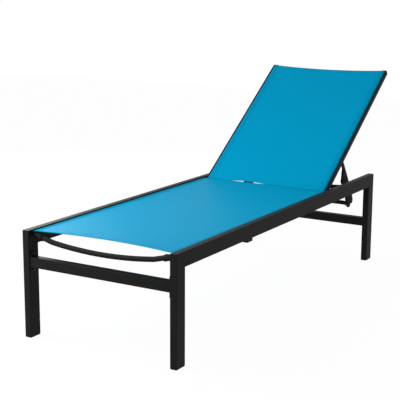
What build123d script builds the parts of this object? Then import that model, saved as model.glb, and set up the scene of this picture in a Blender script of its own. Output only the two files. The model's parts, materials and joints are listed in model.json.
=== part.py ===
from build123d import *
from math import asin, cos, degrees, radians, sin, sqrt
import os

# Armless sling chaise lounge. Millimetres and degrees.
# X runs across, Y towards the head end, Z up from the floor.

# Welded side frames: one rectangular tube for the rails and the legs
frame_width = 650
frame_length = 1697
seat_height = 400
tube_width = 27
tube_depth = 54
tube_wall = 1.8
tube_corner = 2
glide_height = 5
glide_bevel = 1.5
glide_plug_length = 18
glide_plug_clearance = 0.2

# Round track in the rails that holds the edge cord of a sling
track_radius = 3.2
track_mouth = 2.6
track_wall = 2.3
edge_cord_radius = 2.7
sling_thickness = 1.2
sling_clearance = 0.3

# Straight stretchers between the legs, with a bolted flange at each end
stretcher_depth = 30
stretcher_height = 38
stretcher_setback = 4
front_stretcher_drop = 116
rear_stretcher_drop = 223.5
flange_height = 76
flange_thickness = 4
flange_corner = 3
flange_bolt_pitch = 58
flange_bolt_radius = 3
flange_head_radius = 6.2
flange_head_height = 3.6
flange_bolt_grip = 6
fastener_sides = 12
screw_sides = 8
fastener_top_share = 0.62

# Bowed round spreader bars that keep the side frames apart under the slings
bar_radius = 9.5
bar_wall = 1.5
bar_sides = 16
bore_sides = 8
bar_bend_radius = 120
bar_end_gap = 4
bar_fit = 0.05
front_bar_inset = 33
front_bar_end_drop = 18
front_bar_bow = 14
front_bar_straight_end = 86
front_bar_bend_angle = 6.9
middle_bar_share = 0.4262
middle_bar_end_drop = 59
middle_bar_bow = 19.6
middle_bar_straight_end = 46
rest_bar_bow = 8
rest_bar_straight_end = 56
saddle_wall = 3.2
saddle_length = 20
front_saddle_length = 36
saddle_plate = 3
saddle_plate_width = 46
middle_saddle_plate_width = 66
saddle_plate_margin = 4
saddle_plate_corner = 3
saddle_cut_above_axis = 4
saddle_screw_radius = 2.2
saddle_head_radius = 4
saddle_head_height = 2.4
saddle_screw_grip = 5
saddle_screw_inset = 5.5

# Seat sling, with a hollow-cut front hem and a rear hem that bulges towards the backrest
seat_front_inset = 27
seat_front_hollow = 32
seat_rear_gap = 24
seat_rear_bulge = 7

# Backrest frame
recline = 35.5
back_side_gap = 3
back_rail_width = 25
back_rail_depth = 22
back_rail_wall = 1.8
back_rail_corner = 2
back_length = 786
back_tail = 13
back_track_inset = 7.8
back_track_radius = 2.9
back_track_mouth = 2.6
back_track_wall = 2
back_edge_cord_radius = 2.4
back_cap_thickness = 5
back_cap_bevel = 1.8
back_cap_plug = 6
back_cap_clearance = 0.2
upper_bar_inset = 104
lower_bar_position = 62
back_bar_bow = 32
back_bar_flange = 3
back_bar_flange_radius = 11.5
back_sling_lower_overhang = 8
back_sling_lower_hollow = 3.5
back_sling_upper_margin = 6
back_sling_upper_hollow = 9
back_cord_start = 9

# Hinge between the side rails and the backrest
hinge_from_head = 449.3
hinge_bolt_radius = 4
hinge_running_fit = 0.05
hinge_head_radius = 7.5
hinge_head_height = 4.5
hinge_head_gap = 0.3
insert_radius = 6
insert_length = 13
insert_flange_radius = 8.5
insert_flange = 1
press_clearance = 0.02
bush_radius = 6
bush_flange_radius = 9
bush_flange = 1.6

# Notched support arms, their rest bar and the rod that joins them
arm_pivot_share = 0.313
arm_outer_inset = 65
arm_thickness = 10
arm_lean = 34
arm_boss_radius = 10.5
arm_rear_edge = 10.5
arm_shank_front = 2
arm_shank_length = 100
arm_first_tooth_angle = 31
arm_notch_angles = (recline, 41, 46.5)
arm_tooth_angles = (38.2, 43.7)
back_limit_angle = 47.5
arm_tip_clearance = 0.5
arm_notch_depth = 5
arm_notch_clearance = 0.8
arm_blade_along = 238
arm_toe_points = ((250, 48), (262, 44))
arm_rod_along = 273
arm_rod_front = 46
arm_rod_boss_radius = 13.5
arm_stub_points = ((296, 50), (302, 38), (293.5, 27))
arm_heel_along = 288
arm_heel_front = 11
arm_heel_radius = 15
arm_heel_rise_along = 262
arm_bolt_radius = 3
arm_bolt_head_radius = 7
arm_bolt_head_height = 3.6
arm_bolt_tail_radius = 6.5
arm_bolt_tail_height = 1.4
arm_spacer_radius = 7
arm_spacer_gap = 0.25
rod_radius = 9.5
rod_wall = 1.5
rod_plug_length = 14
rod_plug_clearance = 0.1
rod_screw_radius = 2.5
rod_head_radius = 5
rod_head_height = 2.6
rest_gap = 0.3
cut_overrun = 1

# Places worked out from the sizes above
half_width = frame_width / 2
half_length = frame_length / 2
rail_inside = half_width - tube_width
track_depth = track_radius + track_wall
front_bar_y = front_bar_inset - half_length
pin_depth = back_rail_depth / 2
hinge_y = half_length - hinge_from_head
middle_bar_y = front_bar_y + middle_bar_share * (hinge_y - front_bar_y)
hinge_z = seat_height - pin_depth
back_outside = rail_inside - back_side_gap
back_inside = back_outside - back_rail_width
back_track_x = back_outside - back_track_inset
back_track_depth = back_track_radius + back_track_wall
back_end = back_length + pin_depth * sin(radians(recline)) - back_cap_thickness
arm_pivot_position = arm_pivot_share * back_length
upper_bar_position = back_length - upper_bar_inset
rest_bar_y = hinge_y + arm_pivot_position
rest_bar_end_z = seat_height - back_rail_depth - rest_gap - bar_radius
bar_half_length = rail_inside - bar_end_gap
arm_outside = half_width - arm_outer_inset
arm_inside = arm_outside - arm_thickness
rod_half_length = arm_inside


def box(low, high):
    """Box between two opposite corners."""
    size = [b - a for a, b in zip(low, high)]
    middle = [(a + b) / 2 for a, b in zip(low, high)]
    return Pos(*middle) * Box(*size)


def rod_x(radius, start, end, y=0, z=0):
    """Round bar along X from start to end."""
    return Pos((start + end) / 2, y, z) * Rot(0, 90, 0) * Cylinder(radius, abs(end - start))


def sided_rod(radius, start, end, y=0, z=0, top_radius=None, sides=fastener_sides):
    """Rod along X with few sides, for small pieces and their holes. It may taper to a smaller end."""
    place = Plane(origin=(start, y, z), x_dir=(0, 1, 0), z_dir=(1 if end > start else -1, 0, 0))
    base = place * RegularPolygon(radius, sides)
    if top_radius is None:
        return extrude(base, amount=abs(end - start))
    top = place.offset(abs(end - start)) * RegularPolygon(top_radius, sides)
    return loft([base, top])


def holes(radius, start, end, places, sides=fastener_sides):
    """Few-sided holes along X, cut past both ends, at several places given as Y and Z."""
    return [sided_rod(radius, start - cut_overrun, end + cut_overrun, y, z, sides=sides) for y, z in places]


def pad_block(width, depth, height, corner, bevel):
    """Moulded pad standing on Z = 0, with cut corners and a bevelled top edge."""
    pad = Pos(0, 0, height / 2) * Box(width, depth, height)
    pad = chamfer(pad.edges().filter_by(Axis.Z), corner)
    return chamfer(pad.faces().sort_by(Axis.Z)[-1].edges(), bevel)


def both_sides(shape):
    """The shape and its mirror image across the lounge."""
    return [shape, mirror(shape, about=Plane.YZ)]


def group(shapes):
    """One node from several separate pieces."""
    return Compound([solid for shape in shapes for solid in shape.solids()])


def placed_back(shape, angle=recline):
    """Turn a part, modelled flat with the hinge pin at the origin, to the angle of the backrest."""
    return Pos(0, hinge_y, hinge_z) * Rot(angle, 0, 0) * shape


def back_point(along, angle):
    """Y and Z of a point on the pin line of the backrest."""
    turn = radians(angle)
    return hinge_y + along * cos(turn), hinge_z + along * sin(turn)


def bow_radius(half_chord, bow):
    return (half_chord ** 2 + bow ** 2) / (2 * bow)


def bowed(radius, sides, half_chord, bow, y):
    """Solid bar on one arc, lowest in the middle and at height 0 half a chord away from it.

    It runs on past both ends of the chord, to be cut off square.
    """
    arc_radius = bow_radius(half_chord, bow)
    half_angle = degrees(asin((half_chord + bar_radius) / arc_radius))
    section = Plane(origin=(0, y, -bow), z_dir=(1, 0, 0)) * RegularPolygon(radius, sides)
    axis = Axis((0, y, arc_radius - bow), (0, 1, 0))
    return revolve(section.rotate(axis, -half_angle), axis, 2 * half_angle)


class BarShape:
    """Bowed bar between the side rails: a wide arc, then straight ends that may be bent up further."""

    def __init__(self, y, end_z, bow, straight_end, bend_angle=0):
        self.y = y
        self.arc_half = bar_half_length - straight_end
        self.arc_radius = bow_radius(self.arc_half, bow)
        start = asin(self.arc_half / self.arc_radius)
        self.slope = start + radians(bend_angle)
        self.points = [(0, 0), (self.arc_half, bow)]
        for turn in ((start + self.slope) / 2, self.slope) if bend_angle else ():
            self.points.append((self.arc_half + bar_bend_radius * (sin(turn) - sin(start)),
                                bow + bar_bend_radius * (cos(start) - cos(turn))))
        self.end_z = end_z
        self.low = end_z - self.rise(bar_half_length)

    def rise(self, x):
        """Height of the bar's axis at x above its lowest point."""
        if x <= self.arc_half:
            return self.arc_radius - sqrt(self.arc_radius ** 2 - x ** 2)
        bend_x, bend_z = self.points[-1]
        return bend_z + (x - bend_x) * sin(self.slope) / cos(self.slope)

    def height(self, x):
        return self.low + self.rise(x)

    def solid(self, radius, sides):
        def at(point, side):
            return (side * point[0], self.y, self.low + point[1])

        end = (bar_half_length, self.rise(bar_half_length))
        edges = [ThreePointArc(at(self.points[1], -1), at(self.points[0], 1), at(self.points[1], 1))]
        for side in (-1, 1):
            if len(self.points) > 2:
                edges.append(ThreePointArc(*[at(point, side) for point in self.points[1:]]))
            edges.append(Line(at(self.points[-1], side), at(end, side)))
        start = Plane(origin=at(end, -1), z_dir=(cos(self.slope), 0, -sin(self.slope)))
        return sweep(start * RegularPolygon(radius, sides), path=Wire(edges))

    def end_rod(self, radius, start, end):
        """Straight rod on the line of the bar's right end, between two distances across the lounge."""
        middle = (start + end) / 2
        length = (end - start) / cos(self.slope)
        return Pos(middle, self.y, self.height(middle)) * Rot(0, 90 - degrees(self.slope), 0) * Cylinder(
            radius, length)


def tube_section(width, height, wall, corner):
    """Rectangular tube section with rounded outer corners."""
    return RectangleRounded(width, height, corner) - Rectangle(width - 2 * wall, height - 2 * wall)


def rail_section():
    """Side rail section: the tube, with the sling track in its inner top corner."""
    inner_edge = -tube_width / 2
    top_edge = tube_depth / 2
    middle = Pos(inner_edge + track_depth, top_edge - track_depth)
    block = middle * Rectangle(2 * track_depth, 2 * track_depth)
    section = tube_section(tube_width, tube_depth, tube_wall, tube_corner)
    section += block & RectangleRounded(tube_width, tube_depth, tube_corner)
    track = middle * Circle(track_radius)
    mouth = Pos(inner_edge, top_edge - track_depth) * Rectangle(2 * track_depth, track_mouth)
    return section - track - mouth


def corner_wedge(sign, keep_leg):
    """Block that cuts a leg or a rail to the 45 degree joint at one end of the side frame."""
    end = half_length * sign
    inner = end - tube_depth * sign
    over = cut_overrun * sign
    outer_top = (end + over, seat_height + cut_overrun)
    inner_low = (inner - over, seat_height - tube_depth - cut_overrun)
    if keep_leg:
        corner = (inner - over, seat_height + cut_overrun)
    else:
        corner = (end + over, seat_height - tube_depth - cut_overrun)
    profile = Plane.YZ * make_face(Polyline(outer_top, inner_low, corner, close=True))
    return extrude(profile, amount=frame_width, both=True)


def side_rail():
    section = Plane(origin=(half_width - tube_width / 2, half_length, seat_height - tube_depth / 2),
                    x_dir=(1, 0, 0), z_dir=(0, -1, 0)) * rail_section()
    rail = extrude(section, amount=frame_length)
    rail -= corner_wedge(1, False)
    rail -= corner_wedge(-1, False)
    rail -= sided_rod(insert_radius, rail_inside - cut_overrun, rail_inside + insert_length, hinge_y, hinge_z)
    return rail - saddle_screw_holes()


def leg(sign):
    middle_y = (half_length - tube_depth / 2) * sign
    section = Plane(origin=(half_width - tube_width / 2, middle_y, glide_height)) * tube_section(
        tube_width, tube_depth, tube_wall, tube_corner)
    shape = extrude(section, amount=seat_height - glide_height)
    shape -= corner_wedge(sign, True)
    shape -= flange_bolt_holes(sign)
    return shape - saddle_screw_holes()


def foot_glide(sign):
    """Plastic plug in the end of a leg, with a pad as wide as the tube."""
    middle = Pos(half_width - tube_width / 2, (half_length - tube_depth / 2) * sign, 0)
    pad = mirror(pad_block(tube_width, tube_depth, glide_height, tube_corner, glide_bevel), about=Plane.XY)
    pad = Pos(0, 0, glide_height) * pad
    inner = 2 * (tube_wall + glide_plug_clearance)
    plug = Pos(0, 0, glide_height) * extrude(
        Rectangle(tube_width - inner, tube_depth - inner), amount=glide_plug_length)
    return middle * (pad + plug)


def stretcher_middle(sign):
    return (half_length - stretcher_setback - stretcher_depth / 2) * sign


def stretcher_level(sign):
    """Height of a stretcher's middle line."""
    return seat_height - (front_stretcher_drop if sign < 0 else rear_stretcher_drop)


def flange_bolt_places(sign):
    level = stretcher_level(sign)
    return [(stretcher_middle(sign), level + side * flange_bolt_pitch / 2) for side in (-1, 1)]


def flange_bolt_holes(sign):
    end = rail_inside + flange_bolt_grip - cut_overrun
    return holes(flange_bolt_radius, rail_inside - flange_thickness, end, flange_bolt_places(sign))


def stretcher(sign):
    half = rail_inside - flange_thickness
    section = Plane(origin=(-half, stretcher_middle(sign), stretcher_level(sign)),
                    x_dir=(0, 1, 0), z_dir=(1, 0, 0)) * tube_section(
        stretcher_depth, stretcher_height, tube_wall, tube_corner)
    return extrude(section, amount=2 * half)


def stretcher_flange(sign):
    """Plate welded to the end of a stretcher and bolted to the inner face of a leg."""
    middle, level = stretcher_middle(sign), stretcher_level(sign)
    plate = box((rail_inside - flange_thickness, middle - stretcher_depth / 2, level - flange_height / 2),
                (rail_inside, middle + stretcher_depth / 2, level + flange_height / 2))
    plate = chamfer(plate.edges().filter_by(Axis.X), flange_corner)
    return plate - flange_bolt_holes(sign)


def button_bolt(shank_radius, head_radius, head_height, start, end, y, z, sides=fastener_sides):
    """Bolt along X: a bevelled head that stands inboard of start, and a shank from start to end."""
    rim = start - head_height / 2
    bolt = sided_rod(head_radius, start, rim, y, z, sides=sides)
    bolt += sided_rod(head_radius, rim, start - head_height, y, z, head_radius * fastener_top_share, sides)
    return bolt + sided_rod(shank_radius, start, end, y, z, sides=sides)


def stretcher_bolts():
    bolts = []
    for y, z in flange_bolt_places(-1) + flange_bolt_places(1):
        bolt = button_bolt(flange_bolt_radius, flange_head_radius, flange_head_height,
                           rail_inside - flange_thickness, rail_inside + flange_bolt_grip, y, z)
        bolts += both_sides(bolt)
    return group(bolts)


bar_shapes = {
    "front": BarShape(front_bar_y, seat_height - front_bar_end_drop, front_bar_bow,
                      front_bar_straight_end, front_bar_bend_angle),
    "middle": BarShape(middle_bar_y, seat_height - middle_bar_end_drop, middle_bar_bow,
                       middle_bar_straight_end),
    "rest": BarShape(rest_bar_y, rest_bar_end_z, rest_bar_bow, rest_bar_straight_end),
}


def saddle_plate_span(name):
    """Bottom and top of the plate that carries a bar end."""
    end_z = bar_shapes[name].end_z
    if name == "rest":
        top = seat_height - back_rail_depth - rest_gap
    else:
        top = seat_height - 2 * track_depth - saddle_plate_margin
    lowest = seat_height - tube_depth + saddle_plate_margin
    return max(min(end_z, top) - bar_radius - saddle_wall, lowest), top


def plate_half_width(name):
    return (middle_saddle_plate_width if name == "middle" else saddle_plate_width) / 2


def saddle_screw_places():
    places = []
    for name, bar in bar_shapes.items():
        middle = sum(saddle_plate_span(name)) / 2
        for side in (-1, 1):
            places.append((bar.y + side * (plate_half_width(name) - saddle_screw_inset), middle))
    return places


def saddle_screw_holes():
    end = rail_inside + saddle_screw_grip - cut_overrun
    return holes(saddle_screw_radius, rail_inside - saddle_plate, end, saddle_screw_places(), screw_sides)


def spreader_bar(name):
    shape = bar_shapes[name]
    return shape.solid(bar_radius, bar_sides) - shape.solid(bar_radius - bar_wall, bore_sides)


def saddle(name):
    """Half-round cup that carries a bar end, on a plate screwed inside the side rail."""
    bar = bar_shapes[name]
    y = bar.y
    face = rail_inside - saddle_plate
    bottom, top = saddle_plate_span(name)
    outer = bar_radius + saddle_wall
    half = plate_half_width(name)
    inner = face - (front_saddle_length if name == "front" else saddle_length)
    plate = box((face, y - half, bottom), (rail_inside, y + half, top))
    plate = chamfer(plate.edges().filter_by(Axis.X), saddle_plate_corner)
    cup_top = min(bar.end_z + saddle_cut_above_axis, top)
    hanger_top = max(cup_top, bottom + saddle_wall)
    hanger = box((face, y - outer, bar.end_z), (rail_inside, y + outer, hanger_top))
    window = box((inner, y - outer, bar.low - saddle_plate_width), (rail_inside, y + outer, cup_top))
    shape = plate + hanger + (bar.end_rod(outer, inner - outer, frame_width) & window)
    shape -= bar.end_rod(bar_radius + bar_fit, inner - outer, bar_half_length)
    return shape - saddle_screw_holes()


def saddle_screws():
    screws = []
    for y, z in saddle_screw_places():
        screw = button_bolt(saddle_screw_radius, saddle_head_radius, saddle_head_height,
                            rail_inside - saddle_plate, rail_inside + saddle_screw_grip, y, z, screw_sides)
        screws += both_sides(screw)
    return group(screws)


def hollow_hem_panel(half, start, end, start_hollow, end_hollow):
    """Flat outline of a sling: straight sides, and ends that curve in. A negative hollow bulges out."""
    edges = [
        Line((half, start), (half, end)),
        ThreePointArc((half, end), (0, end - end_hollow), (-half, end)),
        Line((-half, end), (-half, start)),
        ThreePointArc((-half, start), (0, start + start_hollow), (half, start)),
    ]
    return make_face(edges)


def seat_span():
    """Y of the seat sling's front and rear corners."""
    return seat_front_inset - half_length, hinge_y - seat_rear_gap


def seat_sling():
    start, end = seat_span()
    track_x = rail_inside + track_depth
    reach = track_x - edge_cord_radius - sling_clearance
    panel = Plane(origin=(0, 0, seat_height - track_depth - sling_thickness / 2)) * hollow_hem_panel(
        reach, start, end, seat_front_hollow, -seat_rear_bulge)
    return extrude(panel, amount=sling_thickness)


def cord_y(radius, start, end, x, z):
    """Edge cord of a sling along Y, with few sides."""
    place = Plane(origin=(x, start, z), x_dir=(1, 0, 0), z_dir=(0, 1, 0))
    return extrude(place * RegularPolygon(radius, fastener_sides), amount=end - start)


def seat_edge_cord():
    start, end = seat_span()
    return cord_y(edge_cord_radius, start, end, rail_inside + track_depth, seat_height - track_depth)


def back_rail_section():
    """Backrest rail section, with the sling track in its front face."""
    top = back_rail_depth / 2
    track_x = back_rail_width / 2 - back_track_inset
    block = Pos(track_x, top - back_track_depth) * Rectangle(2 * back_track_depth, 2 * back_track_depth)
    outline = RectangleRounded(back_rail_width, back_rail_depth, back_rail_corner)
    section = tube_section(back_rail_width, back_rail_depth, back_rail_wall, back_rail_corner)
    section += block & outline
    section -= Pos(track_x, top - back_track_depth) * Circle(back_track_radius)
    return section - Pos(track_x, top) * Rectangle(back_track_mouth, 2 * back_track_depth)


def back_rail_end(position, direction):
    """Plane across a backrest rail at a place along it, facing along or against the rail."""
    origin = (back_outside - back_rail_width / 2, position, 0)
    return Plane(origin=origin, x_dir=(-direction, 0, 0), z_dir=(0, direction, 0))


def back_bar_screw_places():
    return [(position, 0) for position in (lower_bar_position, upper_bar_position)]


def back_rail():
    section = back_rail_end(-back_tail, 1) * mirror(back_rail_section(), about=Plane.YZ)
    rail = extrude(section, amount=back_end + back_tail)
    rail -= holes(bush_radius + press_clearance, back_inside, back_outside, [(0, 0)])
    rail -= holes(arm_bolt_radius, back_inside, back_outside, [(arm_pivot_position, 0)])
    rail -= holes(saddle_screw_radius, back_inside, back_inside + saddle_screw_grip - cut_overrun,
                  back_bar_screw_places(), screw_sides)
    return placed_back(rail)


def back_cap(at_top):
    """Bevelled plastic cap on the end of a backrest rail."""
    pad = pad_block(back_rail_width, back_rail_depth, back_cap_thickness, back_rail_corner, back_cap_bevel)
    inner = 2 * (back_rail_wall + back_cap_clearance)
    side = (back_rail_width - inner) / 2
    plug_depth = back_rail_depth / 2 - back_rail_wall - back_cap_clearance
    block_bottom = back_rail_depth / 2 - 2 * back_track_depth - back_cap_clearance
    plug = box((-side, -plug_depth, -back_cap_plug), (side, block_bottom, 0))
    place = back_rail_end(back_end, 1) if at_top else back_rail_end(-back_tail, -1)
    return placed_back(place.location * (pad + plug))


def back_bar(position):
    """Bowed bar between the backrest rails, with a round flange welded into each end."""
    half = back_inside - back_bar_flange
    weld = back_inside - back_bar_flange / 2
    bar = bowed(bar_radius, bar_sides, half, back_bar_bow, position)
    bar -= bowed(bar_radius - bar_wall, bore_sides, half, back_bar_bow, position)
    reach = 2 * back_bar_bow
    bar &= box((-weld, position - reach, -reach), (weld, position + reach, reach))
    flange = rod_x(back_bar_flange_radius, half, back_inside, position) & box(
        (0, position - reach, -pin_depth), (frame_width, position + reach, pin_depth))
    flange -= holes(saddle_screw_radius, half, back_inside, [(position, 0)], screw_sides)
    for end in both_sides(flange):
        bar += end
    return placed_back(bar)


def back_bar_screws():
    """Screws from inside the bar ends into the backrest rails."""
    screws = []
    for y, z in back_bar_screw_places():
        screws += both_sides(sided_rod(saddle_screw_radius, back_inside - back_bar_flange,
                                       back_inside + saddle_screw_grip, y, z, sides=screw_sides))
    return placed_back(group(screws))


def back_sling_span():
    return -back_sling_lower_overhang, back_end - back_sling_upper_margin


def back_sling():
    """Sling over the front of the backrest rails, its edges turned down into the tracks."""
    start, end = back_sling_span()
    low = pin_depth + sling_clearance
    outline = Plane(origin=(0, 0, low)) * hollow_hem_panel(
        back_track_x + sling_thickness / 2, start, end, back_sling_lower_hollow, back_sling_upper_hollow)
    sling = extrude(outline, amount=sling_thickness)
    edge_low = pin_depth - back_track_depth + back_edge_cord_radius + sling_clearance
    for edge in both_sides(box((back_track_x - sling_thickness / 2, back_cord_start, edge_low),
                               (back_track_x + sling_thickness / 2, end, low))):
        sling += edge
    return placed_back(sling)


def back_edge_cord():
    end = back_sling_span()[1]
    return placed_back(cord_y(back_edge_cord_radius, back_cord_start, end, back_track_x,
                              pin_depth - back_track_depth))


def hinge_bolt():
    """Bolt from inside the backrest rail into the threaded insert of the side rail."""
    return button_bolt(hinge_bolt_radius, hinge_head_radius, hinge_head_height,
                       back_inside - hinge_head_gap, rail_inside + insert_length, hinge_y, hinge_z)


def hinge_insert():
    start, end = rail_inside - insert_flange, rail_inside + insert_length
    body = sided_rod(insert_radius, start, end, hinge_y, hinge_z)
    body += sided_rod(insert_flange_radius, start, rail_inside, hinge_y, hinge_z)
    return body - holes(hinge_bolt_radius, start, end, [(hinge_y, hinge_z)])


def hinge_bush():
    """Flanged bush pressed into the backrest rail, that turns on the hinge bolt."""
    end = back_outside + bush_flange
    body = sided_rod(bush_radius, back_inside, end) + sided_rod(bush_flange_radius, back_outside, end)
    bore = rod_x(hinge_bolt_radius + hinge_running_fit, back_inside - cut_overrun, end + cut_overrun)
    return placed_back(body - bore)


def bar_in_arm(angle):
    """Where the rest bar lies beside an arm, as lengths along and in front of the arm, at a back angle."""
    pivot_y, pivot_z = back_point(arm_pivot_position, angle)
    height = bar_shapes["rest"].height((arm_inside + arm_outside) / 2)
    dy, dz = rest_bar_y - pivot_y, height - pivot_z
    lean = radians(arm_lean)
    return dy * sin(lean) - dz * cos(lean), -dy * cos(lean) - dz * sin(lean)


def tooth_tip(angle):
    along, front = bar_in_arm(angle)
    return along, front - bar_radius - arm_tip_clearance


def arm_profile():
    """Side view of a notched arm: pivot boss, slim shank, toothed blade, toe, rod boss, stub and heel."""
    tips = [tooth_tip(angle) for angle in (arm_first_tooth_angle, *arm_tooth_angles, back_limit_angle)]
    blade_end = (arm_blade_along, tips[-1][1])
    blade = make_face(Polyline(
        (0, -arm_rear_edge), (0, arm_shank_front), (arm_shank_length, arm_shank_front), *tips, blade_end,
        *arm_toe_points, *arm_stub_points, (arm_heel_along, arm_heel_front),
        (arm_heel_along, arm_heel_front - arm_heel_radius), (arm_heel_rise_along, -arm_rear_edge),
        close=True))
    profile = blade + Circle(arm_boss_radius)
    profile += Pos(arm_rod_along, arm_rod_front) * Circle(arm_rod_boss_radius)
    profile += Pos(arm_heel_along, arm_heel_front) * Circle(arm_heel_radius)
    for angle in arm_notch_angles:
        along, front = bar_in_arm(angle)
        notch = Circle(bar_radius + arm_notch_clearance)
        profile -= Pos(along, front - arm_notch_depth) * notch
    profile -= Circle(arm_bolt_radius + hinge_running_fit)
    return profile - Pos(arm_rod_along, arm_rod_front) * RegularPolygon(
        rod_screw_radius, fastener_sides, rotation=arm_lean)


def arm():
    pivot_y, pivot_z = back_point(arm_pivot_position, recline)
    lean = radians(arm_lean)
    place = Plane(origin=(arm_outside, pivot_y, pivot_z), x_dir=(0, sin(lean), -cos(lean)), z_dir=(-1, 0, 0))
    return extrude(place * arm_profile(), amount=arm_thickness)


def rod_centre():
    pivot_y, pivot_z = back_point(arm_pivot_position, recline)
    lean = radians(arm_lean)
    return (pivot_y + arm_rod_along * sin(lean) - arm_rod_front * cos(lean),
            pivot_z - arm_rod_along * cos(lean) - arm_rod_front * sin(lean))


def arm_rod():
    y, z = rod_centre()
    return rod_x(rod_radius, -rod_half_length, rod_half_length, y, z) - rod_x(
        rod_radius - rod_wall, -rod_half_length - cut_overrun, rod_half_length + cut_overrun, y, z)


def rod_plug():
    y, z = rod_centre()
    start = rod_half_length - rod_plug_length
    plug = sided_rod(rod_radius - rod_wall - rod_plug_clearance, start, rod_half_length, y, z)
    return plug - holes(rod_screw_radius, start, rod_half_length, [(y, z)])


def rod_screw():
    y, z = rod_centre()
    return button_bolt(rod_screw_radius, rod_head_radius, rod_head_height,
                       -arm_outside, rod_plug_length - rod_half_length, y, z)


def arm_bolt():
    """Shouldered rivet through the arm, its spacer and the backrest rail."""
    start = arm_inside - arm_spacer_gap
    bolt = button_bolt(arm_bolt_radius, arm_bolt_head_radius, arm_bolt_head_height, start,
                       back_outside, arm_pivot_position, 0)
    tail_end = back_outside + arm_bolt_tail_height
    bolt += sided_rod(arm_bolt_tail_radius, back_outside, tail_end, arm_pivot_position)
    return placed_back(bolt)


def arm_spacer():
    start = arm_outside + arm_spacer_gap
    body = sided_rod(arm_spacer_radius, start, back_inside, arm_pivot_position)
    return placed_back(body - holes(arm_bolt_radius, start, back_inside, [(arm_pivot_position, 0)]))


def named_parts():
    parts = {}
    for name, shape in {"side_rail": side_rail(), "front_leg": leg(-1), "rear_leg": leg(1),
                        "seat_edge_cord": seat_edge_cord(), "back_rail": back_rail(),
                        "back_edge_cord": back_edge_cord(), "notched_arm": arm()}.items():
        parts[name + "_right"], parts[name + "_left"] = both_sides(shape)
    parts["foot_glides"] = group(both_sides(foot_glide(-1)) + both_sides(foot_glide(1)))
    parts["front_stretcher"] = stretcher(-1)
    parts["rear_stretcher"] = stretcher(1)
    parts["front_stretcher_flanges"] = group(both_sides(stretcher_flange(-1)))
    parts["rear_stretcher_flanges"] = group(both_sides(stretcher_flange(1)))
    parts["stretcher_bolts"] = stretcher_bolts()
    for name in bar_shapes:
        parts[name + "_bar"] = spreader_bar(name)
        parts[name + "_bar_saddles"] = group(both_sides(saddle(name)))
    parts["saddle_screws"] = saddle_screws()
    parts["seat_sling"] = seat_sling()
    parts["hinge_bolts"] = group(both_sides(hinge_bolt()))
    parts["hinge_inserts"] = group(both_sides(hinge_insert()))
    parts["hinge_bushes"] = group(both_sides(hinge_bush()))
    parts["back_upper_caps"] = group(both_sides(back_cap(True)))
    parts["back_lower_caps"] = group(both_sides(back_cap(False)))
    parts["back_upper_bar"] = back_bar(upper_bar_position)
    parts["back_lower_bar"] = back_bar(lower_bar_position)
    parts["back_bar_screws"] = back_bar_screws()
    parts["back_sling"] = back_sling()
    parts["arm_rod"] = arm_rod()
    parts["arm_rod_plugs"] = group(both_sides(rod_plug()))
    parts["arm_rod_screws"] = group(both_sides(rod_screw()))
    parts["arm_bolts"] = group(both_sides(arm_bolt()))
    parts["arm_spacers"] = group(both_sides(arm_spacer()))
    return parts


# The origin is set under the middle of the whole lounge, on the floor
parts = named_parts()
whole = group(parts.values()).bounding_box()
shift = -(whole.min.Y + whole.max.Y) / 2
os.makedirs("parts", exist_ok=True)
for name, shape in parts.items():
    export_step(Pos(0, shift, 0) * group([shape]), "parts/" + name + ".step")

pivot = back_point(arm_pivot_position, recline)
print("shift", round(shift, 4))
print("size", whole.size)
print("hinge", round(hinge_y + shift, 4), hinge_z)
print("arm pivot", round(pivot[0] + shift, 4), round(pivot[1], 4))
foot_reach = half_length - tube_depth / 2
print("feet", half_width - tube_width / 2, shift + foot_reach, shift - foot_reach)
for angle in (0, 10, 20, arm_first_tooth_angle, *arm_notch_angles, back_limit_angle):
    print("bar in arm", angle, [round(v, 2) for v in bar_in_arm(angle)])
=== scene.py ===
import json
import math

import bpy
from mathutils import Matrix, Vector


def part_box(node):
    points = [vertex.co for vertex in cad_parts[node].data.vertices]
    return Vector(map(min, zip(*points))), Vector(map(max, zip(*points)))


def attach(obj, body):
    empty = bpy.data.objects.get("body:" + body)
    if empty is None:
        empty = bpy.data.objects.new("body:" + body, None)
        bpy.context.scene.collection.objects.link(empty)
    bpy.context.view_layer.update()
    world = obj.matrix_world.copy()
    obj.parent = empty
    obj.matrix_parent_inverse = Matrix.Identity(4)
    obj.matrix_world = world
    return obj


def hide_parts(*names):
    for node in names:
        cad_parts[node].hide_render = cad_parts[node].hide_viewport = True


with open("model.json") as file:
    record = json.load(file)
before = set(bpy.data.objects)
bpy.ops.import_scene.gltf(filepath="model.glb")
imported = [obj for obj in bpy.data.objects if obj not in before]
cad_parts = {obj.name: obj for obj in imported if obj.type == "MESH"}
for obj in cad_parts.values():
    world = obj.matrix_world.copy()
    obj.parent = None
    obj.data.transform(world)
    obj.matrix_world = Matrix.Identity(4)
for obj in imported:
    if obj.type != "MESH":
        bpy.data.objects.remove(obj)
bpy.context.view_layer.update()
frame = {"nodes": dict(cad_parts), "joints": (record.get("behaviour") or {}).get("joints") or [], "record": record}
print("frame loaded,", len(frame["nodes"]), "nodes")

joints = {joint["name"]: joint for joint in frame["joints"]}
hingePlace = Vector(joints["back_recline"]["pos_m"])
recline = math.radians(-joints["back_recline"]["range_deg"][0])


def addMesh(name, points, faces, smooth=True):
    mesh = bpy.data.meshes.new(name)
    mesh.from_pydata([tuple(p) for p in points], [], faces)
    mesh.validate()
    if smooth:
        for polygon in mesh.polygons:
            polygon.use_smooth = True
    piece = bpy.data.objects.new(name, mesh)
    bpy.context.scene.collection.objects.link(piece)
    return piece


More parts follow.
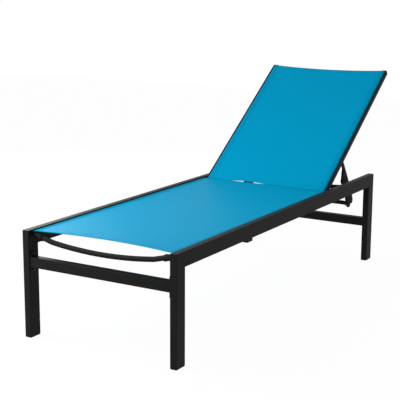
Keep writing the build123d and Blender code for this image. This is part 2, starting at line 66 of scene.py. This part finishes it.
def newGroup(name, inputs, outputs):
    group = bpy.data.node_groups.new(name, "ShaderNodeTree")
    for label, kind, value in inputs:
        socket = group.interface.new_socket(name=label, in_out="INPUT", socket_type=kind)
        if value is not None:
            socket.default_value = value
    for label, kind in outputs:
        group.interface.new_socket(name=label, in_out="OUTPUT", socket_type=kind)
    return group, group.nodes.new("NodeGroupInput"), group.nodes.new("NodeGroupOutput")


def feed(tree, socket, value):
    # a socket takes either a plain value or the output of another node
    if isinstance(value, (int, float, tuple)):
        socket.default_value = value
    else:
        tree.links.new(value, socket)


def mathNode(tree, operation, *values):
    node = tree.nodes.new("ShaderNodeMath")
    node.operation = operation
    for socket, value in zip(node.inputs, values):
        feed(tree, socket, value)
    return node.outputs[0]


def noiseNode(tree, vector, scale, detail):
    node = tree.nodes.new("ShaderNodeTexNoise")
    node.inputs["Detail"].default_value = detail
    feed(tree, node.inputs["Vector"], vector)
    feed(tree, node.inputs["Scale"], scale)
    return node.outputs["Fac"]


def mixColour(tree, factor, first, second):
    node = tree.nodes.new("ShaderNodeMix")
    node.data_type = "RGBA"
    # the factor and the two colour sockets
    for index, value in ((0, factor), (6, first), (7, second)):
        feed(tree, node.inputs[index], value)
    return node.outputs[2]


def splitVector(tree, vector):
    node = tree.nodes.new("ShaderNodeSeparateXYZ")
    tree.links.new(vector, node.inputs[0])
    return node.outputs


def newMaterial(name):
    material = bpy.data.materials.new(name)
    material.use_nodes = True
    tree = material.node_tree
    return material, tree, tree.nodes["Principled BSDF"]


def placeGroup(tree, group, values):
    node = tree.nodes.new("ShaderNodeGroup")
    node.node_tree = group
    for label, value in values.items():
        node.inputs[label].default_value = value
    return node


def addBump(tree, shader, height, look):
    bump = tree.nodes.new("ShaderNodeBump")
    bump.inputs["Strength"].default_value = look["bump"]
    bump.inputs["Distance"].default_value = look["bumpDepth"]
    if "edgeRadius" in look:
        rounded = tree.nodes.new("ShaderNodeBevel")
        rounded.inputs["Radius"].default_value = look["edgeRadius"]
        tree.links.new(rounded.outputs[0], bump.inputs["Normal"])
    tree.links.new(height, bump.inputs["Height"])
    tree.links.new(bump.outputs[0], shader.inputs["Normal"])


speckleLook = {"grainScale": 900.0, "grainDetail": 1.0, "patchScale": 9.0, "patchDetail": 3.0}


def makeSpeckleGroup(look):
    # fine grain and slow unevenness, for powder coat, plastic, steel and thread
    group, source, sink = newGroup(
        "fineSpeckle",
        [("Grain Scale", "NodeSocketFloat", look["grainScale"]),
         ("Patch Scale", "NodeSocketFloat", look["patchScale"])],
        [("Grain", "NodeSocketFloat"), ("Patches", "NodeSocketFloat")])
    place = group.nodes.new("ShaderNodeTexCoord").outputs["Object"]
    grain = noiseNode(group, place, source.outputs["Grain Scale"], look["grainDetail"])
    patches = noiseNode(group, place, source.outputs["Patch Scale"], look["patchDetail"])
    group.links.new(grain, sink.inputs["Grain"])
    group.links.new(patches, sink.inputs["Patches"])
    return group


speckleGroup = makeSpeckleGroup(speckleLook)

powderCoat = {
    "dark": (0.0050, 0.0050, 0.0046, 1), "light": (0.0076, 0.0076, 0.0070, 1),
    "grainScale": 1400.0, "patchScale": 7.0, "rough": 0.50, "roughSpread": 0.10,
    "metallic": 0.0, "specular": 0.075, "bump": 0.2, "bumpDepth": 0.0004, "edgeRadius": 0.0022,
}
mouldedPlastic = {
    "dark": (0.004, 0.004, 0.004, 1), "light": (0.007, 0.007, 0.007, 1),
    "grainScale": 2200.0, "patchScale": 18.0, "rough": 0.50, "roughSpread": 0.14,
    "metallic": 0.0, "specular": 0.1, "bump": 0.3, "bumpDepth": 0.0003, "edgeRadius": 0.0008,
}
darkSteel = {
    "dark": (0.010, 0.010, 0.010, 1), "light": (0.018, 0.018, 0.018, 1),
    "grainScale": 700.0, "patchScale": 60.0, "rough": 0.40, "roughSpread": 0.15,
    "metallic": 0.5, "specular": 0.2, "bump": 0.1, "bumpDepth": 0.0002, "edgeRadius": 0.0008,
}


def coatedMaterial(name, look):
    # a dark body with slow patches of colour, and fine grain in gloss and height
    material, tree, shader = newMaterial(name)
    speckle = placeGroup(tree, speckleGroup, {"Grain Scale": look["grainScale"],
                                              "Patch Scale": look["patchScale"]})
    grain = speckle.outputs["Grain"]
    colour = mixColour(tree, speckle.outputs["Patches"], look["dark"], look["light"])
    tree.links.new(colour, shader.inputs["Base Color"])
    rough = mathNode(tree, "MULTIPLY_ADD", grain, look["roughSpread"], look["rough"])
    tree.links.new(rough, shader.inputs["Roughness"])
    shader.inputs["Metallic"].default_value = look["metallic"]
    shader.inputs["Specular IOR Level"].default_value = look["specular"]
    addBump(tree, shader, grain, look)
    return material


threadLook = {
    "light": (0.0, 0.22, 0.42, 1), "dark": (0.0, 0.13, 0.25, 1), "twistScale": 2600.0,
    "rough": 0.7, "specular": 0.05, "bump": 0.5, "bumpDepth": 0.0002,
}


def threadMaterial(name, look):
    material, tree, shader = newMaterial(name)
    speckle = placeGroup(tree, speckleGroup, {"Grain Scale": look["twistScale"]})
    twist = speckle.outputs["Grain"]
    tree.links.new(mixColour(tree, twist, look["dark"], look["light"]), shader.inputs["Base Color"])
    shader.inputs["Roughness"].default_value = look["rough"]
    shader.inputs["Specular IOR Level"].default_value = look["specular"]
    addBump(tree, shader, twist, look)
    return material


# gapLevel is the height below which the weave is open, and a small toneStretch gives each yarn a
# tone that changes slowly along it
clothLook = {
    "yarnsPerMetre": 720.0, "gapLevel": 0.10,
    "toneStretch": 0.02, "toneScale": 0.7, "toneDetail": 1.0,
    # the opening colour is painted shade: a dark tone in the weave's gaps for the shade seen through them
    "warp": (0.0, 0.258, 0.455, 1), "weft": (0.0, 0.330, 0.565, 1), "opening": (0.0, 0.06, 0.12, 1),
    # the side hems are darkened: partly the double cloth, partly painted shade beside the rails
    "shade": (0.0, 0.10, 0.20, 1), "shadeShare": 0.18, "hemDarkAndRailShade": 0.15, "foldDull": 0.8,
    "rough": 0.33, "roughDrop": 0.06, "specular": 0.006, "bump": 0.4, "bumpDepth": 0.0005,
}


def yarnWave(tree, value):
    # for yarns of width 1 side by side: the yarn's number, 1 or -1 by turns, and its round profile
    whole = mathNode(tree, "FLOOR", value)
    side = mathNode(tree, "COSINE", mathNode(tree, "MULTIPLY", whole, math.pi))
    wave = mathNode(tree, "SINE", mathNode(tree, "MULTIPLY", value, math.pi))
    return whole, side, mathNode(tree, "ABSOLUTE", wave)


def yarnHeight(tree, lift, along, profile, sign):
    # a yarn arches over the one that it crosses where sign * lift is positive, and dips under it
    # where it is negative
    arch = mathNode(tree, "MULTIPLY", lift, along)
    return mathNode(tree, "MULTIPLY", profile, mathNode(tree, "MULTIPLY_ADD", arch, sign / 2, 1 / 2))


def makeWeaveGroup(look):
    # flat coated yarns, one over one. Over is 1 on the yarns that run along, Gap is 1 in the openings
    group, source, sink = newGroup(
        "slingWeave",
        [("Place", "NodeSocketVector", None),
         ("Yarns per Metre", "NodeSocketFloat", look["yarnsPerMetre"])],
        [("Height", "NodeSocketFloat"), ("Over", "NodeSocketFloat"), ("Gap", "NodeSocketFloat"),
         ("Yarn Tone", "NodeSocketFloat")])
    scaled = group.nodes.new("ShaderNodeVectorMath")
    scaled.operation = "SCALE"
    group.links.new(source.outputs["Place"], scaled.inputs[0])
    group.links.new(source.outputs["Yarns per Metre"], scaled.inputs["Scale"])
    across, along = splitVector(group, scaled.outputs[0])[:2]
    column, columnSide, roundColumn = yarnWave(group, across)
    row, rowSide, roundRow = yarnWave(group, along)
    lift = mathNode(group, "MULTIPLY", columnSide, rowSide)
    warp = yarnHeight(group, lift, roundRow, roundColumn, 1)
    weft = yarnHeight(group, lift, roundColumn, roundRow, -1)
    height = mathNode(group, "MAXIMUM", warp, weft)
    tonePlace = group.nodes.new("ShaderNodeCombineXYZ")
    group.links.new(column, tonePlace.inputs[0])
    group.links.new(mathNode(group, "MULTIPLY", along, look["toneStretch"]), tonePlace.inputs[1])
    outputs = {
        "Height": height,
        "Over": mathNode(group, "GREATER_THAN", warp, weft),
        "Gap": mathNode(group, "LESS_THAN", height, look["gapLevel"]),
        "Yarn Tone": noiseNode(group, tonePlace.outputs[0], look["toneScale"], look["toneDetail"]),
    }
    for label, value in outputs.items():
        group.links.new(value, sink.inputs[label])
    return group


def clothMaterial(name, look):
    material, tree, shader = newMaterial(name)
    place = tree.nodes.new("ShaderNodeAttribute")
    place.attribute_name = "clothPlace"
    weave = placeGroup(tree, makeWeaveGroup(look), {"Yarns per Metre": look["yarnsPerMetre"]})
    tree.links.new(place.outputs["Vector"], weave.inputs["Place"])
    folded = splitVector(tree, place.outputs["Vector"])[2]
    yarn = mixColour(tree, weave.outputs["Over"], look["weft"], look["warp"])
    deep = mixColour(tree, look["shadeShare"], yarn, look["shade"])
    toned = mixColour(tree, weave.outputs["Yarn Tone"], deep, yarn)
    # folded double, the cloth is darker and duller; along the side hems the darker tone is also painted shade
    # beside the rails
    hemShadeShare = mathNode(tree, "MULTIPLY", folded, look["hemDarkAndRailShade"])
    toned = mixColour(tree, hemShadeShare, toned, look["shade"])
    # painted shade in the weave's openings
    shaded = mixColour(tree, weave.outputs["Gap"], toned, look["opening"])
    tree.links.new(shaded, shader.inputs["Base Color"])
    rough = mathNode(tree, "MULTIPLY_ADD", weave.outputs["Height"], -look["roughDrop"],
                     look["rough"] + look["roughDrop"])
    tree.links.new(rough, shader.inputs["Roughness"])
    gloss = mathNode(tree, "MULTIPLY_ADD", folded, -look["specular"] * look["foldDull"],
                     look["specular"])
    tree.links.new(gloss, shader.inputs["Specular IOR Level"])
    addBump(tree, shader, weave.outputs["Height"], look)
    return material


finishes = {
    "frame": coatedMaterial("charcoalPowderCoat", powderCoat),
    "plastic": coatedMaterial("blackPlastic", mouldedPlastic),
    "hardware": coatedMaterial("darkSteel", darkSteel),
    "sling": clothMaterial("blueSlingCloth", clothLook),
}
threadFinish = threadMaterial("blueThread", threadLook)

for subpart in frame["record"]["subparts"]:
    node = frame["nodes"][subpart["node"]]
    node.data.materials.clear()
    node.data.materials.append(finishes[subpart["material_slot"]])
print("materials made")


def clothSheet(name, toRoom, pointAt, look, thicknessAt, foldedAt):
    # closed thin sheet: front and rear skins of one grid, joined round the edge
    columns, rows = look["columns"], look["rows"]
    points, places, faces = [], [], []
    for side in (1, -1):
        for j in range(rows + 1):
            for i in range(columns + 1):
                u, v = i / columns, j / rows
                across, along, out = pointAt(u, v)
                half = thicknessAt(u, v) / 2
                points.append(toRoom(across, along, out + side * half))
                places.append((across, along, foldedAt(u, v)))
    width = columns + 1
    layer = width * (rows + 1)
    for j in range(rows):
        for i in range(columns):
            a = j * width + i
            quad = (a, a + 1, a + 1 + width, a + width)
            faces.append(quad)
            faces.append(tuple(layer + k for k in reversed(quad)))
    rim = ([i for i in range(width)] + [j * width + columns for j in range(1, rows + 1)]
           + [rows * width + i for i in range(columns - 1, -1, -1)]
           + [j * width for j in range(rows - 1, 0, -1)])
    for k, a in enumerate(rim):
        b = rim[(k + 1) % len(rim)]
        faces.append((b, a, a + layer, b + layer))
    sheet = addMesh(name, points, faces)
    # for the weave: where each point lies on the cloth, in metres, and 1 where the cloth is folded
    attribute = sheet.data.attributes.new("clothPlace", "FLOAT_VECTOR", "POINT")
    attribute.data.foreach_set("vector", [value for place in places for value in place])
    return sheet


# rings: where each ring of points lies along a stitch, and its share of the radius
stitchLook = {
    "length": 0.0030, "radius": 0.00045, "pitch": 0.0042, "hemShare": 0.85, "points": 60,
    "sides": 6, "rings": ((-0.5, 0.35), (-0.32, 0.9), (0.32, 0.9), (0.5, 0.35)),
}


def addStitch(points, faces, toRoom, middle, direction, look):
    length, radius, sides, rings = look["length"], look["radius"], look["sides"], look["rings"]
    side = Vector((-direction.y, direction.x, 0))
    first = len(points)
    for reach, share in rings:
        for k in range(sides):
            turn = 2 * math.pi * k / sides
            place = (middle + direction * (reach * length)
                     + side * (math.cos(turn) * radius * share))
            points.append(toRoom(place.x, place.y, place.z + math.sin(turn) * radius * share))
    for ring in range(len(rings) - 1):
        for k in range(sides):
            a = first + ring * sides + k
            b = first + ring * sides + (k + 1) % sides
            faces.append((a, b, b + sides, a + sides))
    last = first + (len(rings) - 1) * sides
    faces.append(tuple(first + k for k in reversed(range(sides))))
    faces.append(tuple(last + k for k in range(sides)))


def stitchRow(name, toRoom, line, look):
    # short rounded thread lengths along a line of points given on the cloth
    points, faces = [], []
    travelled, nextStitch = 0, look["pitch"] / 2
    for start, end in zip(line, line[1:]):
        run = Vector(end) - Vector(start)
        while nextStitch < travelled + run.length:
            middle = Vector(start) + run * ((nextStitch - travelled) / run.length)
            addStitch(points, faces, toRoom, middle, run.normalized(), look)
            nextStitch += look["pitch"]
        travelled += run.length
    return addMesh(name, points, faces)


def makeSling(name, look, toRoom, pointAt, width, length, body, node):
    # the cloth with its hems, and a row of stitches along each of its four edges, as one sheet
    def foldedAt(u, v):
        return 1 if min(u, 1 - u) * width < look["sideHem"] else 0

    def thicknessAt(u, v):
        inHem = min(v, 1 - v) * length < look["hemWidth"]
        return look["thickness"] + (look["hemExtra"] if inHem or foldedAt(u, v) else 0)

    cloth = clothSheet(name + "Cloth", toRoom, pointAt, look, thicknessAt, foldedAt)
    cloth.data.materials.append(finishes["sling"])
    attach(cloth, body)
    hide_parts(node)
    left, low = [hem * stitchLook["hemShare"] / size
                 for hem, size in ((look["sideHem"], width), (look["hemWidth"], length))]
    right, high = 1 - left, 1 - low
    for edge, start, end in (("Lower", (left, low), (right, low)),
                             ("Upper", (left, high), (right, high)),
                             ("Left", (left, low), (left, high)),
                             ("Right", (right, low), (right, high))):
        line = []
        for k in range(stitchLook["points"] + 1):
            share = k / stitchLook["points"]
            across, along, out = pointAt(*[a + (b - a) * share for a, b in zip(start, end)])
            line.append((across, along, out + (look["thickness"] + look["hemExtra"]) / 2))
        row = stitchRow(name + edge + "Stitches", toRoom, line, stitchLook)
        row.data.materials.append(threadFinish)
        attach(row, body)


def arcShare(u):
    # 0 at the corners of a hem and 1 in its middle
    return 1 - (2 * u - 1) ** 2


def slack(look, v, length):
    # share of the sag along the sling: none at the hems, all of it far from them
    return ((1 - math.exp(-v * length / look["lowerReach"]))
            * (1 - math.exp(-(1 - v) * length / look["upperReach"])))


# sizes in metres
seatLook = {
    "sag": 0.006, "sagPower": 0.8, "lowerReach": 0.25, "upperReach": 0.12,
    "thickness": 0.0012, "hemExtra": 0.0007, "hemWidth": 0.024, "sideHem": 0.024,
    "frontHollow": 0.032, "rearBulge": 0.007,
    "columns": 96, "rows": 120, "flat": (0.621, 1.252),
}


def seatToRoom(across, along, out):
    return Vector((across, along, out))


def makeSeatSling(look):
    low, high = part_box("seat_sling")
    level = (low.z + high.z) / 2
    rearCorner = high.y - look["rearBulge"]
    length = rearCorner - low.y

    def pointAt(u, v):
        front = low.y + look["frontHollow"] * arcShare(u)
        rear = rearCorner + look["rearBulge"] * arcShare(u)
        drop = look["sag"] * slack(look, v, length) * arcShare(u) ** look["sagPower"]
        return low.x + (high.x - low.x) * u, front + (rear - front) * v, level - drop

    makeSling("seatSling", look, seatToRoom, pointAt, high.x - low.x, length, "base", "seat_sling")


makeSeatSling(seatLook)
print("seat sling made")


# sizes in metres: flatEdge is the strip that lies on each rail, and tuck is where the cloth dips
# into the tracks. The lower hem stands clear of the seat by openDepth, at openCentre and for
# openSpread each way, both as shares of the width
backLook = {
    "sag": 0.006, "lowerReach": 0.10, "upperReach": 0.14,
    "thickness": 0.0012, "hemExtra": 0.0007, "hemWidth": 0.024, "sideHem": 0.024, "lift": 0.0003,
    "lowerDrop": 0.003, "lowerHollow": 0.0015, "upperRise": 0.005, "upperHollow": 0.0135,
    "flatEdge": 0.0183, "tuck": 0.004, "tuckWidth": 0.0026,
    "openDepth": 0.0078, "openCentre": 0.36, "openSpread": 0.15,
    "columns": 96, "rows": 84, "flat": (0.631, 0.845),
}


def backToRoom(across, along, out):
    # a point given on the backrest: across it, up from the hinge, and out of its front face
    return Vector((across,
                   hingePlace.y + along * math.cos(recline) - out * math.sin(recline),
                   hingePlace.z + along * math.sin(recline) + out * math.cos(recline)))


def roomToBack(point):
    y, z = point.y - hingePlace.y, point.z - hingePlace.z
    return (point.x, y * math.cos(recline) + z * math.sin(recline),
            z * math.cos(recline) - y * math.sin(recline))


def makeBackSling(look):
    node = frame["nodes"]["back_sling"]
    corners = [roomToBack(node.matrix_world @ vertex.co) for vertex in node.data.vertices]
    halfWidth = max(corner[0] for corner in corners)
    start = min(corner[1] for corner in corners) - look["lowerDrop"]
    end = max(corner[1] for corner in corners) + look["upperRise"]
    face = max(corner[2] for corner in corners) - look["thickness"] / 2 + look["lift"]
    length = end - start

    def pointAt(u, v):
        across = (2 * u - 1) * halfWidth
        fromCentre = (u - look["openCentre"]) / look["openSpread"]
        opening = look["openDepth"] * math.exp(-fromCentre ** 2)
        lower = start + look["lowerHollow"] * arcShare(u) + opening
        upper = end - look["upperHollow"] * arcShare(u)
        inward = halfWidth - abs(across)
        free = max(0.0, inward - look["flatEdge"]) / (halfWidth - look["flatEdge"])
        out = face - look["sag"] * (1 - (1 - free) ** 2) * slack(look, v, length)
        if inward < look["tuckWidth"]:
            out -= look["tuck"] * (1 - inward / look["tuckWidth"]) ** 2
        return across, lower + (upper - lower) * v, out

    makeSling("backSling", look, backToRoom, pointAt, 2 * halfWidth, length, "back", "back_sling")


makeBackSling(backLook)
print("back sling made")


# seenWhite is the share of plain white in the floor as the camera sees it
stageLook = {
    "floorSize": 14.0, "floorColour": (0.90, 0.90, 0.90, 1), "floorRough": 0.9, "floorSpecular": 0.0,
    "seenWhite": 0.96, "whiteStrength": 1.0, "worldColour": (1, 1, 1, 1), "fillLevel": 0.72,
}
lampLooks = {
    "keyLamp": {"place": (-1.1, -1.15, 1.25), "target": (0, -0.6, 0.4),
                "size": (0.9, 0.9), "power": 23},
    "lowLamp": {"place": (-2.4, -3.3, 0.55), "target": (-0.3, -0.9, 0.2),
                "size": (0.9, 0.7), "power": 34},
    "sideLamp": {"place": (-3.0, 1.7, 1.4), "target": (0, -0.4, 0.4),
                 "size": (1.2, 0.9), "power": 48},
}


def seenMask(tree):
    # 1 where the stage is seen by the camera, in a reflection or through a clear piece
    rays = tree.nodes.new("ShaderNodeLightPath").outputs
    reflected = mathNode(tree, "MAXIMUM", rays["Is Glossy Ray"], rays["Is Transmission Ray"])
    return mathNode(tree, "MAXIMUM", rays["Is Camera Ray"], reflected)


def makeFloor(look):
    half = look["floorSize"] / 2
    corners = [(-half, -half, 0), (half, -half, 0), (half, half, 0), (-half, half, 0)]
    floor = addMesh("studioFloor", corners, [(0, 1, 2, 3)], smooth=False)
    material, tree, shader = newMaterial("studioFloorWhite")
    shader.inputs["Base Color"].default_value = look["floorColour"]
    shader.inputs["Roughness"].default_value = look["floorRough"]
    shader.inputs["Specular IOR Level"].default_value = look["floorSpecular"]
    glow = tree.nodes.new("ShaderNodeEmission")
    glow.inputs["Strength"].default_value = look["whiteStrength"]
    mixed = tree.nodes.new("ShaderNodeMixShader")
    share = mathNode(tree, "MULTIPLY", seenMask(tree), look["seenWhite"])
    tree.links.new(share, mixed.inputs[0])
    tree.links.new(shader.outputs[0], mixed.inputs[1])
    tree.links.new(glow.outputs[0], mixed.inputs[2])
    tree.links.new(mixed.outputs[0], tree.nodes["Material Output"].inputs["Surface"])
    floor.data.materials.append(material)


def makeWorld(look):
    # white where it is seen, and the plain fill level as a light
    world = bpy.data.worlds.new("studioWorld")
    bpy.context.scene.world = world
    world.use_nodes = True
    tree = world.node_tree
    sky = tree.nodes["Background"]
    sky.inputs["Color"].default_value = look["worldColour"]
    strength = mathNode(tree, "MULTIPLY_ADD", seenMask(tree),
                        look["whiteStrength"] - look["fillLevel"], look["fillLevel"])
    tree.links.new(strength, sky.inputs["Strength"])


def makeLamp(name, look):
    lamp = bpy.data.lights.new(name, "AREA")
    lamp.shape = "RECTANGLE"
    lamp.size, lamp.size_y = look["size"]
    lamp.energy = look["power"]
    holder = bpy.data.objects.new(name, lamp)
    holder.location = look["place"]
    aim = Vector(look["target"]) - Vector(look["place"])
    holder.rotation_euler = aim.to_track_quat("-Z", "Y").to_euler()
    holder.visible_camera = False
    bpy.context.scene.collection.objects.link(holder)


# fitted to the photo: degrees, and metres from the middle of the four feet
cameraLook = {
    "azimuth": 30.918, "elevation": 11.995, "roll": 0.273, "place": (2.11636, -3.69324, 1.29690),
    "lens": 96.05, "sensor": 36.0, "clip": (0.1, 60),
}


def makeCamera(look):
    azimuth, elevation, roll = [math.radians(look[key]) for key in ("azimuth", "elevation", "roll")]
    back = Vector((math.sin(azimuth) * math.cos(elevation),
                   -math.cos(azimuth) * math.cos(elevation), math.sin(elevation)))
    right = Vector((math.cos(azimuth), math.sin(azimuth), 0))
    up = back.cross(right)
    sideways = right * math.cos(roll) + up * math.sin(roll)
    upright = up * math.cos(roll) - right * math.sin(roll)
    data = bpy.data.cameras.new("photoCamera")
    data.lens, data.sensor_width = look["lens"], look["sensor"]
    data.clip_start, data.clip_end = look["clip"]
    camera = bpy.data.objects.new("photoCamera", data)
    turn = Matrix((sideways, upright, back)).transposed().to_4x4()
    footLow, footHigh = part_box("foot_glides")
    feetMiddle = Vector((0, (footLow.y + footHigh.y) / 2, 0))
    camera.matrix_world = Matrix.Translation(Vector(look["place"]) + feetMiddle) @ turn
    bpy.context.scene.collection.objects.link(camera)
    bpy.context.scene.camera = camera


makeFloor(stageLook)
makeWorld(stageLook)
for lampName, lampLook in lampLooks.items():
    makeLamp(lampName, lampLook)
makeCamera(cameraLook)
bpy.context.scene.view_settings.view_transform = "Standard"
print("stage made")
